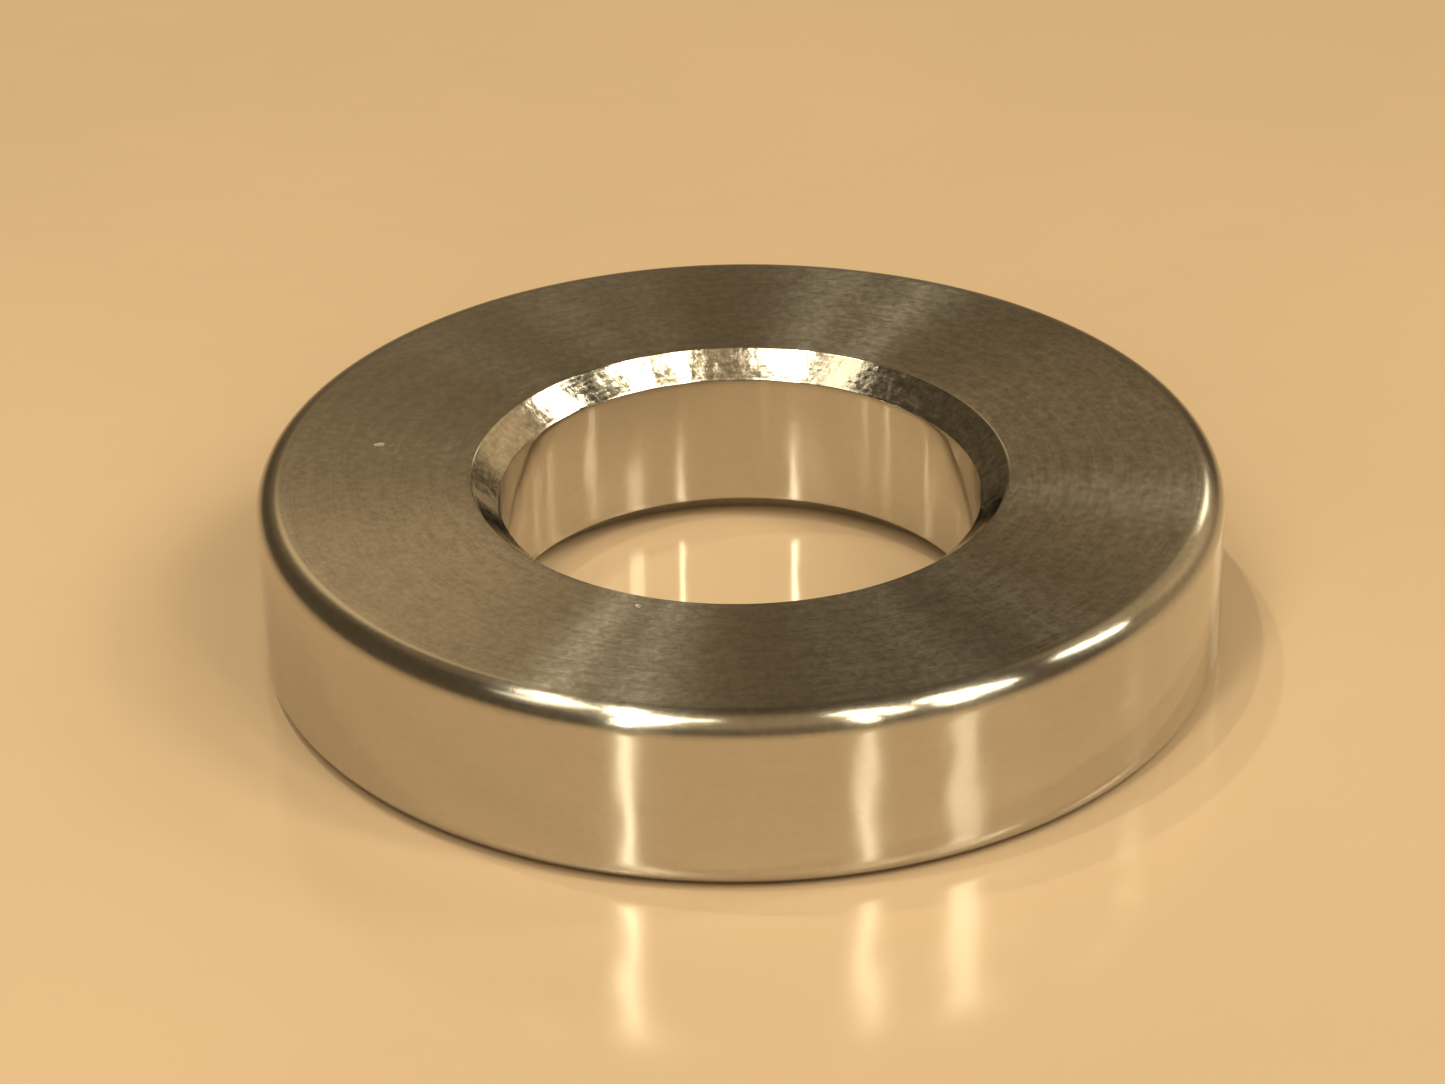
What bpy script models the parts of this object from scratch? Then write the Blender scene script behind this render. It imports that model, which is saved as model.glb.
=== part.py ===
"""A plain shaft collar: one solid steel ring, turned all over, with a through bore.

Metres, +Z up. The origin is the centre of the bore on the bottom face, and +Z runs
along the bore. The ring is the same both ways up.
"""
from math import cos, pi, radians, sin

import bpy

# Driving dimensions.
OUTER_DIAMETER = 0.036
BORE_DIAMETER = 0.018
WIDTH = 0.007
EDGE_RADIUS = 0.0009            # rounding of both outer edges
BORE_CHAMFER_WIDTH = 0.0010     # of both bore edges, measured across the flat face
BORE_CHAMFER_DEPTH = 0.0009     # of both bore edges, measured down the bore

# Fineness of the turned surface.
STEPS_AROUND = 120
STEPS_PER_EDGE = 5
MERGE_DISTANCE = 0.000001
SHARP_ANGLE = radians(25)

STEEL_COLOUR = (0.56, 0.53, 0.48, 1.0)
STEEL_ROUGHNESS = 0.22


def clear_scene():
    for thing in list(bpy.context.scene.objects):
        bpy.data.objects.remove(thing, do_unlink=True)


def polished_steel():
    material = bpy.data.materials.new("polished_steel")
    material.use_nodes = True
    shader = material.node_tree.nodes["Principled BSDF"]
    shader.inputs["Base Color"].default_value = STEEL_COLOUR
    shader.inputs["Metallic"].default_value = 1.0
    shader.inputs["Roughness"].default_value = STEEL_ROUGHNESS
    return material


def arc(centre_radius, centre_height, radius, start, end, steps):
    """Points (distance from the axis, height) along an arc of the section."""
    angles = [start + (end - start) * step / steps for step in range(steps + 1)]
    return [(centre_radius + radius * cos(a), centre_height + radius * sin(a)) for a in angles]


def ring_section():
    """The section at +X: down the outer side, across the bottom, up the bore."""
    outer = OUTER_DIAMETER / 2
    bore = BORE_DIAMETER / 2
    rounding_centre = outer - EDGE_RADIUS
    face_inner = bore + BORE_CHAMFER_WIDTH
    top_edge = arc(rounding_centre, WIDTH - EDGE_RADIUS, EDGE_RADIUS, pi / 2, 0, STEPS_PER_EDGE)
    bottom_edge = arc(rounding_centre, EDGE_RADIUS, EDGE_RADIUS, 0, -pi / 2, STEPS_PER_EDGE)
    bore_side = [
        (face_inner, 0),
        (bore, BORE_CHAMFER_DEPTH),
        (bore, WIDTH - BORE_CHAMFER_DEPTH),
        (face_inner, WIDTH),
    ]
    return top_edge + bottom_edge + bore_side


def turned(name, section, collection):
    """A closed section turned a full circle about Z."""
    profile = bpy.data.meshes.new(name + "_section")
    points = [(radius, 0, height) for radius, height in section]
    edges = [(i, (i + 1) % len(points)) for i in range(len(points))]
    profile.from_pydata(points, edges, [])
    lathe = bpy.data.objects.new(name, profile)
    collection.objects.link(lathe)
    screw = lathe.modifiers.new("turn", "SCREW")
    screw.axis = "Z"
    screw.angle = 2 * pi
    screw.steps = STEPS_AROUND
    screw.render_steps = STEPS_AROUND
    screw.use_merge_vertices = True
    screw.merge_threshold = MERGE_DISTANCE

    # The turned mesh replaces its section, so that its crisp edges can be marked.
    evaluated = lathe.evaluated_get(bpy.context.evaluated_depsgraph_get())
    solid = bpy.data.meshes.new_from_object(evaluated)
    solid.name = name
    lathe.modifiers.clear()
    lathe.data = solid
    bpy.data.meshes.remove(profile)
    solid.shade_smooth()
    solid.set_sharp_from_angle(angle=SHARP_ANGLE)
    return lathe


def main():
    clear_scene()
    collection = bpy.data.collections.new("shaft_collar")
    bpy.context.scene.collection.children.link(collection)
    ring = turned("collar_ring", ring_section(), collection)
    ring.data.materials.clear()
    ring.data.materials.append(polished_steel())


main()
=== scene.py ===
"""A plain turned steel shaft collar on a pale table, in soft studio light.

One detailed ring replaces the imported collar_ring node. Its outside size comes from that
node's box, and the rest from the sizes below. All are in metres; +Z runs along the bore.
"""
from collections import namedtuple
from math import atan2, cos, pi, radians, sin, tan

import bpy
import numpy as np
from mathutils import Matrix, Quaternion, Vector, noise


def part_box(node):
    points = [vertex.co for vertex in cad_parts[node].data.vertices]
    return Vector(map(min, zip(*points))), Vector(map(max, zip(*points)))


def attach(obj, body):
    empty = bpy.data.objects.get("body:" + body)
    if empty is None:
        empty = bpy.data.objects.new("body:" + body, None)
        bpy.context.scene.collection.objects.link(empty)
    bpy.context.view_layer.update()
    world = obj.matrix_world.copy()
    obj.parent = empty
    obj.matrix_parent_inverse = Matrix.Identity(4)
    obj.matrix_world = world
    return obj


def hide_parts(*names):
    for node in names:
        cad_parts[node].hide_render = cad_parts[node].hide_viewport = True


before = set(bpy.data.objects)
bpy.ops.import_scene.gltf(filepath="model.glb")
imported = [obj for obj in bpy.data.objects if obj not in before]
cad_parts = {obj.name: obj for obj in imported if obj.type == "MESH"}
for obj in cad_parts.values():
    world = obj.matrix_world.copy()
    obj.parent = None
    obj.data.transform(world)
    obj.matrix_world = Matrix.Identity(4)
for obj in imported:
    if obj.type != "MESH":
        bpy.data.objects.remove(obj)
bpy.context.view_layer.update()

# ---------------------------------------------------------------- sizes of the collar
low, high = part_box("collar_ring")
OUTER = (high.x - low.x) / 2            # outside radius
WIDTH = high.z - low.z
BORE = 0.009                            # bore radius
EDGE_RADIUS = 0.0009                    # rounding of both outer edges
CHAMFER_WIDTH = 0.0010                  # bore chamfers, across the flat faces
CHAMFER_DEPTH = 0.0009                  # bore chamfers, down the bore
FACE_INNER = BORE + CHAMFER_WIDTH

# The small rounding of each sharp corner, and how the upper edges vary around the ring.
LOWER_CORNER = 0.00006                  # between the lower face and its chamfer
BORE_CORNER = 0.00005                   # between the bore and its chamfers
UPPER_CORNER = 0.00007                  # between the upper face and its chamfer
CORNER_WEAR = 0.00016                   # added to the upper corner where it is worn most
WORN_PLACE = radians(-4)                # where that is, as an angle from +X
EDGE_DRIFT = 0.00003                    # of the upper outer edge's rounding

STEPS_AROUND = 640
LAY_MAP = "turned"                      # UV map: turns around, and distance along the section

# ---------------------------------------------------------------- the ring's mesh
# The section's corners, clockwise at +X: (radius from the axis, height), the arc's
# steps, the surface of the arc, and the steps and surface of the run that follows it.
FACE, EDGE, OUTSIDE, CHAMFER, BORE_WALL = range(5)
CORNERS = [
    ((OUTER, WIDTH), 20, EDGE, 20, OUTSIDE),
    ((OUTER, 0), 16, EDGE, 10, FACE),
    ((FACE_INNER, 0), 4, CHAMFER, 8, CHAMFER),
    ((BORE, CHAMFER_DEPTH), 4, BORE_WALL, 20, BORE_WALL),
    ((BORE, WIDTH - CHAMFER_DEPTH), 4, CHAMFER, 14, CHAMFER),
    ((FACE_INNER, WIDTH), 6, FACE, 20, FACE),
]

# Waves that the tools left: their depth, how busy they are around the ring, how quickly
# they change up the surface, and where in the noise they start.
WAVES = {
    OUTSIDE: [(0.000016, 13, 450, 0)],
    CHAMFER: [(0.000007, 34, 900, 0), (0.000016, 9, 900, 9)],
    BORE_WALL: [(0.000006, 13, 450, 0)],
}


def rounded(corner, before, after, radius, steps):
    """Points of the arc that rounds a corner between the lines to before and after."""
    corner, before, after = Vector(corner), Vector(before), Vector(after)
    inward = (before - corner).normalized()
    outward = (after - corner).normalized()
    half = inward.angle(outward) / 2
    bisector = (inward + outward).normalized()
    centre = corner + bisector * (radius / sin(half))
    start = corner + inward * (radius / tan(half)) - centre
    finish = corner + outward * (radius / tan(half)) - centre
    sweep = atan2(start.x * finish.y - start.y * finish.x, start.dot(finish))
    points = []
    for step in range(steps + 1):
        angle = sweep * step / steps
        turned = Vector((start.x * cos(angle) - start.y * sin(angle),
                         start.x * sin(angle) + start.y * cos(angle)))
        points.append(centre + turned)
    return points


def around(turn, spread, layer):
    """A smooth value from -1 to 1 that changes around the ring; more spread is busier."""
    return noise.noise(Vector((spread * cos(turn), spread * sin(turn), layer)))


def corner_radii(turn):
    """The rounding of each corner at an angle around the ring."""
    upper_edge = EDGE_RADIUS + EDGE_DRIFT * around(turn, 2.2, 3)
    worn = max(0, cos(turn - WORN_PLACE)) ** 24
    upper_corner = UPPER_CORNER + CORNER_WEAR * worn
    return [upper_edge, EDGE_RADIUS, LOWER_CORNER, BORE_CORNER, BORE_CORNER, upper_corner]


def section(turn):
    """The closed section at an angle: for each point, its place, its surface, and how
    far the surface may wander there, from 0 beside a corner to 1."""
    arcs = []
    radii = corner_radii(turn)
    for index, (corner, steps, _, _, _) in enumerate(CORNERS):
        before = CORNERS[index - 1][0]
        after = CORNERS[(index + 1) % len(CORNERS)][0]
        arcs.append(rounded(corner, before, after, radii[index], steps))
    points = []
    for index, (_, _, arc_surface, run_steps, run_surface) in enumerate(CORNERS):
        arc = arcs[index]
        points += [(place, arc_surface, 0.0) for place in arc[:-1]]
        following = arcs[(index + 1) % len(CORNERS)][0]
        for step in range(run_steps):
            part = step / run_steps
            freedom = 1 - (2 * part - 1) ** 2
            points.append((arc[-1].lerp(following, part), run_surface, freedom))
    return points


def cut_away(turn, surface, height):
    """How far the tool and the polish went inside the nominal surface."""
    total = 0.0
    for depth, spread, change, start in WAVES.get(surface, []):
        total += depth * (1 + around(turn, spread, change * height + start))
    return total


def add_lay_map(mesh, outline):
    """UVs that follow the tool: turns around the ring, and the way along the section."""
    count = len(outline)
    along = [0.0]
    for index in range(count):
        step = outline[(index + 1) % count][0] - outline[index][0]
        along.append(along[-1] + step.length)
    along = np.array(along) / along[-1]
    turn = np.repeat(np.arange(STEPS_AROUND), count)
    place = np.tile(np.arange(count), STEPS_AROUND)
    readings = np.zeros((len(turn), 4, 2))
    for corner, (ahead, beyond) in enumerate(((0, 0), (1, 0), (1, 1), (0, 1))):
        readings[:, corner, 0] = (turn + ahead) / STEPS_AROUND
        readings[:, corner, 1] = along[place + beyond]
    mesh.uv_layers.new(name=LAY_MAP).data.foreach_set("uv", readings.ravel())


def section_length():
    """The distance once around the closed section."""
    points = [place for place, _, _ in section(0)]
    return sum((points[index] - points[index - 1]).length for index in range(len(points)))


def make_ring():
    """The collar: its section carried around the axis, one quad strip for each step."""
    vertices = []
    for step in range(STEPS_AROUND):
        turn = 2 * pi * step / STEPS_AROUND
        outline = section(turn)
        for point, surface, freedom in outline:
            inward = freedom * cut_away(turn, surface, point.y)
            radius = point.x + inward * (-1 if surface == OUTSIDE else 1)
            level = min(max(point.y, 0), WIDTH)
            vertices.append((radius * cos(turn), radius * sin(turn), level))
    count = len(outline)
    faces = []
    for step in range(STEPS_AROUND):
        here = step * count
        there = ((step + 1) % STEPS_AROUND) * count
        for index in range(count):
            after = (index + 1) % count
            faces.append((here + index, there + index, there + after, here + after))
    mesh = bpy.data.meshes.new("collar_body")
    mesh.from_pydata(vertices, [], faces)
    add_lay_map(mesh, outline)
    surfaces = [surface for _, surface, _ in outline]
    mesh.polygons.foreach_set("material_index", np.tile(surfaces, STEPS_AROUND))
    mesh.update()
    mesh.shade_smooth()
    ring = bpy.data.objects.new("collar_body", mesh)
    bpy.context.scene.collection.objects.link(ring)
    return ring


# ---------------------------------------------------------------- node trees
class Graph:
    """The nodes of one tree. Values are numbers, vectors or other nodes' sockets."""

    def __init__(self, owner):
        owner.use_nodes = True
        self.nodes = owner.node_tree.nodes
        self.links = owner.node_tree.links

    def put(self, socket, value):
        if isinstance(value, bpy.types.NodeSocket):
            self.links.new(value, socket)
        else:
            socket.default_value = value

    def node(self, kind, *values, **settings):
        made = self.nodes.new(kind)
        for name, value in settings.items():
            setattr(made, name, value)
        for socket, value in zip(made.inputs, values):
            self.put(socket, value)
        return made

    def math(self, operation, *values):
        return self.node("ShaderNodeMath", *values, operation=operation).outputs[0]

    def vector(self, operation, *values):
        return self.node("ShaderNodeVectorMath", *values, operation=operation).outputs[0]

    def scaled(self, place, scale):
        return self.vector("MULTIPLY", place, (scale, scale, scale))

    def noise(self, place, detail=2.0, roughness=0.5):
        made = self.node("ShaderNodeTexNoise", noise_dimensions="3D")
        self.put(made.inputs["Vector"], place)
        made.inputs["Scale"].default_value = 1.0
        made.inputs["Detail"].default_value = detail
        made.inputs["Roughness"].default_value = roughness
        return made.outputs["Fac"]

    def remap(self, value, start, end, low, high, **settings):
        made = self.node("ShaderNodeMapRange", value, start, end, low, high, **settings)
        return made.outputs[0]

    def mixed(self, first, second, share):
        """A weighted sum of two values; share is the first one's weight."""
        kept = self.math("MULTIPLY", first, share)
        return self.math("ADD", kept, self.math("MULTIPLY", second, 1 - share))

    def colours(self, factor, first, second):
        made = self.node("ShaderNodeMix", data_type="RGBA")
        self.put(made.inputs["Factor"], factor)
        self.put(made.inputs["A"], (*first, 1))
        self.put(made.inputs["B"], (*second, 1))
        return made.outputs["Result"]

    def bump(self, height, distance):
        made = self.node("ShaderNodeBump")
        made.inputs["Distance"].default_value = distance
        self.put(made.inputs["Height"], height)
        return made.outputs[0]


# ---------------------------------------------------------------- materials
STEEL = (0.56, 0.545, 0.51)

# Small knocks on the top face: degrees around, distance from the axis, and size.
KNOCKS = [
    (170.5, 0.0137, 0.00022),
    (250, 0.0107, 0.00013),
]
KNOCK_EDGE = 0.00012                    # how far a knock's outline wanders
KNOCK_BUMPS = 6000                      # how busily it wanders, to the metre
KNOCK_FLOOR = 0.3                       # size of its flat floor, as a share of its own
KNOCK_DEPTH = 0.5                       # its depth, as a share of its size
KNOCK_LIP = 0.000002                    # the depth at which its rough floor starts
KNOCK_ROUGHNESS = 0.3

# The tool lay: how busy its marks are around the ring, and how far apart they are.
FINE_LAY = (7.2, 0.00010)
BROAD_LAY = (4.8, 0.00042)
PATCHES = 3200                          # duller and smoother patches, to the metre
SPECKS = 3000                           # grit, to the metre
TONE_RANGE = (0.38, 0.62)               # the noise that gives the darkest and lightest steel
WEAR_RANGE = (0.35, 0.65)               # the noise that gives the smoothest and dullest

# How a surface was finished: its roughness and how far that varies, how strongly the
# marks run one way, how far the tone varies, the depths of tool marks and of grit, and
# its knocks.
Finish = namedtuple("Finish", "name roughness swing anisotropy contrast relief grit knocks")
FINISHES = {
    FACE: Finish("steel_faced", 0.182, 0.02, 1.0, 0.155, 1.8e-6, 4e-7, KNOCKS),
    EDGE: Finish("steel_edge", 0.172, 0.02, 0.95, 0.06, 4e-7, 1e-6, []),
    OUTSIDE: Finish("steel_outside", 0.07, 0.025, 0.7, 0.03, 1e-7, 4e-7, []),
    CHAMFER: Finish("steel_chamfer", 0.16, 0.09, 0.5, 0.24, 2e-6, 9e-6, []),
    BORE_WALL: Finish("steel_bore", 0.11, 0.025, 0.8, 0.03, 2e-7, 5e-7, []),
}


def lay_place(graph, length, spread, pitch):
    """Texture space for marks that run around the ring, with no seam.

    spread is how busy it is around the ring, and pitch how far apart the marks are."""
    place = graph.node("ShaderNodeTexCoord").outputs["Object"]
    flat = graph.vector("MULTIPLY", place, (1, 1, 0))
    turned = graph.scaled(graph.vector("NORMALIZE", flat), spread)
    reading = graph.node("ShaderNodeUVMap", uv_map=LAY_MAP).outputs["UV"]
    distance = graph.vector("MULTIPLY", reading, (0, length / pitch, 0))
    across = graph.node("ShaderNodeSeparateXYZ", distance).outputs["Y"]
    upward = graph.node("ShaderNodeCombineXYZ", 0.0, 0.0, across).outputs[0]
    return graph.vector("ADD", turned, upward)


def knock_depth(graph, place, knocks):
    """How deep the knocks go: dents with ragged outlines, and 0 elsewhere."""
    shake = graph.node("ShaderNodeTexNoise", graph.scaled(place, KNOCK_BUMPS)).outputs["Color"]
    ragged = graph.vector("ADD", place, graph.scaled(shake, KNOCK_EDGE))
    middle_of_shake = Vector((KNOCK_EDGE, KNOCK_EDGE, KNOCK_EDGE)) / 2
    total = 0.0
    for turn, radius, size in knocks:
        angle = radians(turn)
        centre = Vector((radius * cos(angle), radius * sin(angle), WIDTH)) + middle_of_shake
        away = graph.node("ShaderNodeVectorMath", ragged, centre, operation="DISTANCE")
        depth = graph.remap(away.outputs["Value"], KNOCK_FLOOR * size, size,
                            KNOCK_DEPTH * size, 0.0)
        total = graph.math("ADD", depth, total)
    return total


def turned_metal(finish, length):
    """Bare steel with a circular tool lay."""
    material = bpy.data.materials.new(finish.name)
    graph = Graph(material)
    place = graph.node("ShaderNodeTexCoord").outputs["Object"]
    fine = graph.noise(lay_place(graph, length, *FINE_LAY))
    broad = graph.noise(lay_place(graph, length, *BROAD_LAY))
    patches = graph.noise(graph.scaled(place, PATCHES), 3.0, 0.7)
    specks = graph.noise(graph.scaled(place, SPECKS))

    marks = graph.math("MULTIPLY", graph.math("ADD", fine, broad), finish.relief)
    height = graph.math("ADD", marks, graph.math("MULTIPLY", specks, finish.grit))
    # The steel's tone is mostly patches, with some lay in it, and so is its wear.
    mottle = graph.mixed(fine, patches, 0.25)
    tone = graph.remap(graph.mixed(broad, mottle, 0.2), *TONE_RANGE, 0.0, 1.0)
    dark = [value * (1 - finish.contrast) for value in STEEL]
    light = [value * (1 + finish.contrast) for value in STEEL]
    worn = graph.mixed(fine, patches, 0.4)
    smooth, dull = finish.roughness - finish.swing, finish.roughness + finish.swing
    roughness = graph.remap(worn, *WEAR_RANGE, smooth, dull)
    if finish.knocks:
        depth = knock_depth(graph, place, finish.knocks)
        height = graph.math("SUBTRACT", height, depth)
        inside = graph.math("GREATER_THAN", depth, KNOCK_LIP)
        rough_floor = graph.math("MULTIPLY", inside, KNOCK_ROUGHNESS)
        roughness = graph.math("MAXIMUM", roughness, rough_floor)

    shader = graph.nodes["Principled BSDF"].inputs
    shader["Metallic"].default_value = 1.0
    shader["Anisotropic"].default_value = finish.anisotropy
    shader["Anisotropic Rotation"].default_value = 0.25
    around_axis = graph.node("ShaderNodeTangent", direction_type="RADIAL", axis="Z")
    graph.put(shader["Tangent"], around_axis.outputs[0])
    graph.put(shader["Base Color"], graph.colours(tone, dark, light))
    graph.put(shader["Roughness"], roughness)
    graph.put(shader["Normal"], graph.bump(height, 1.0))
    return material


TABLE_RADIUS = 3.0
TABLE_TONES = ((0.465, 0.35, 0.245), (0.495, 0.37, 0.26))
TABLE_ROUGHNESS = 0.16
TABLE_CLOUDS = 30                       # to the metre
TABLE_WAVES = 170                       # to the metre
TABLE_WAVE_DEPTH = 0.00003


def table_material():
    """A pale lacquered table top, slightly wavy, so that lamps make streaks in it."""
    material = bpy.data.materials.new("pale_table")
    graph = Graph(material)
    place = graph.node("ShaderNodeTexCoord").outputs["Object"]
    clouds = graph.noise(graph.scaled(place, TABLE_CLOUDS), 5.0)
    cloudy = graph.remap(clouds, 0.3, 0.7, 0.0, 1.0)
    waves = graph.noise(graph.scaled(place, TABLE_WAVES))
    shader = graph.nodes["Principled BSDF"].inputs
    shader["Roughness"].default_value = TABLE_ROUGHNESS
    graph.put(shader["Base Color"], graph.colours(cloudy, *TABLE_TONES))
    graph.put(shader["Normal"], graph.bump(waves, TABLE_WAVE_DEPTH))
    return material


# ---------------------------------------------------------------- room
# Lamps: name, azimuth and elevation, the angles that it fills across and up, and
# brightness. All angles are in degrees.
LAMPS = [
    ("overhead_left", -56, 68, 0.7, 1, 2400),
    ("overhead_right", -104, 76, 0.7, 1, 3000),
    ("overhead_glow", -82, 70, 18, 7, 4.2),
    ("behind_high", -150, 66, 17, 6, 7),
    ("behind_left", -153, 51, 7, 24, 21),
    ("behind_left_low", -153, 31, 2.2, 16, 30),
    ("left_high", -111, 58, 10, 14, 2.4),
    ("right_back", 74, 43, 5, 16, 20),
    ("right", 113, 50, 7, 24, 21),
    ("right_front", 139, 56, 5, 26, 15),
    ("right_front_low", 151, 34, 1.8, 22, 22),
    ("right_low", 127, 36, 6, 14, 12),
    ("back_lamp", 24, 27, 9, 5.5, 3.1),
]
LAMP_COLOUR = (1.0, 0.88, 0.60)
LAMP_DISTANCE = 0.7

# The room's soft lighter patches: azimuth, elevation and reach in degrees, and brightness.
ROOM_PATCHES = [
    (-8, 32, 10, 0.28),
    (-16, 36, 12, 0.64),
    (-25, 34, 22, 0.08),
    (-38, 60, 18, 0.12),
    (14, 29, 9, 0.28),
    (40, 34, 28, 0.40),
    (60, 10, 35, 0.28),
    (0, 5, 24, 0.10),
    (150, 30, 60, 0.09),
    (180, 62, 45, 0.24),
]
ROOM_COLOUR = (1.0, 0.70, 0.36)
ROOM_BRIGHTNESS = 0.10


def towards(azimuth, elevation):
    """A direction: azimuth 0 is away from the camera and 90 to its right, in degrees."""
    turn, rise = radians(azimuth), radians(elevation)
    return Vector((sin(turn) * cos(rise), cos(turn) * cos(rise), sin(rise)))


def make_lamp(name, azimuth, elevation, across, up, brightness):
    """A rectangular softbox that faces the ring."""
    lamp = bpy.data.lights.new(name, "AREA")
    lamp.shape = "RECTANGLE"
    lamp.size = 2 * LAMP_DISTANCE * tan(radians(across) / 2)
    lamp.size_y = 2 * LAMP_DISTANCE * tan(radians(up) / 2)
    lamp.energy = brightness * pi * lamp.size * lamp.size_y
    lamp.color = LAMP_COLOUR
    softbox = bpy.data.objects.new(name, lamp)
    direction = towards(azimuth, elevation)
    softbox.location = direction * LAMP_DISTANCE
    softbox.rotation_mode = "QUATERNION"
    softbox.rotation_quaternion = direction.to_track_quat("Z", "Y")
    softbox.visible_camera = False
    bpy.context.scene.collection.objects.link(softbox)


def make_room():
    """Dim warm walls with softly lighter patches, which the satin face picks up."""
    world = bpy.data.worlds.new("room")
    bpy.context.scene.world = world
    graph = Graph(world)
    view = graph.node("ShaderNodeTexCoord").outputs["Generated"]
    total = ROOM_BRIGHTNESS
    for azimuth, elevation, reach, brightness in ROOM_PATCHES:
        middle = towards(azimuth, elevation)
        near = graph.node("ShaderNodeVectorMath", view, middle, operation="DOT_PRODUCT")
        patch = graph.remap(near.outputs["Value"], cos(radians(reach)), 1.0,
                            0.0, brightness, interpolation_type="SMOOTHERSTEP")
        total = graph.math("ADD", patch, total)
    background = graph.nodes["Background"].inputs
    background["Color"].default_value = (*ROOM_COLOUR, 1)
    graph.put(background["Strength"], total)


def make_table():
    bpy.ops.mesh.primitive_circle_add(vertices=96, radius=TABLE_RADIUS, fill_type="NGON")
    table = bpy.context.object
    table.name = "table"
    table.data.materials.append(table_material())


# The photograph's viewpoint.
CAMERA_DISTANCE = 0.1973                # from the middle of the top face
CAMERA_ELEVATION = 28.41                # degrees above the table
CAMERA_ROLL = radians(-0.81)
CAMERA_AIM = Vector((-0.00066, -0.00548, WIDTH))
LENS = 132.2                            # mm, for a sensor 36 mm wide


def make_camera():
    lens = bpy.data.cameras.new("camera")
    lens.sensor_width = 36
    lens.lens = LENS
    camera = bpy.data.objects.new("camera", lens)
    bpy.context.scene.collection.objects.link(camera)
    away = CAMERA_DISTANCE * towards(180, CAMERA_ELEVATION)
    camera.location = Vector((0, 0, WIDTH)) + away
    level = (CAMERA_AIM - camera.location).to_track_quat("-Z", "Y")
    camera.rotation_mode = "QUATERNION"
    camera.rotation_quaternion = level @ Quaternion((0, 0, 1), CAMERA_ROLL)
    bpy.context.scene.camera = camera


# ---------------------------------------------------------------- the scene
make_camera()
make_table()
make_room()
for lamp in LAMPS:
    make_lamp(*lamp)

ring = make_ring()
length = section_length()
for surface in (FACE, EDGE, OUTSIDE, CHAMFER, BORE_WALL):
    ring.data.materials.append(turned_metal(FINISHES[surface], length))
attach(ring, "root")
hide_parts("collar_ring")

bpy.context.scene.view_settings.view_transform = "Standard"
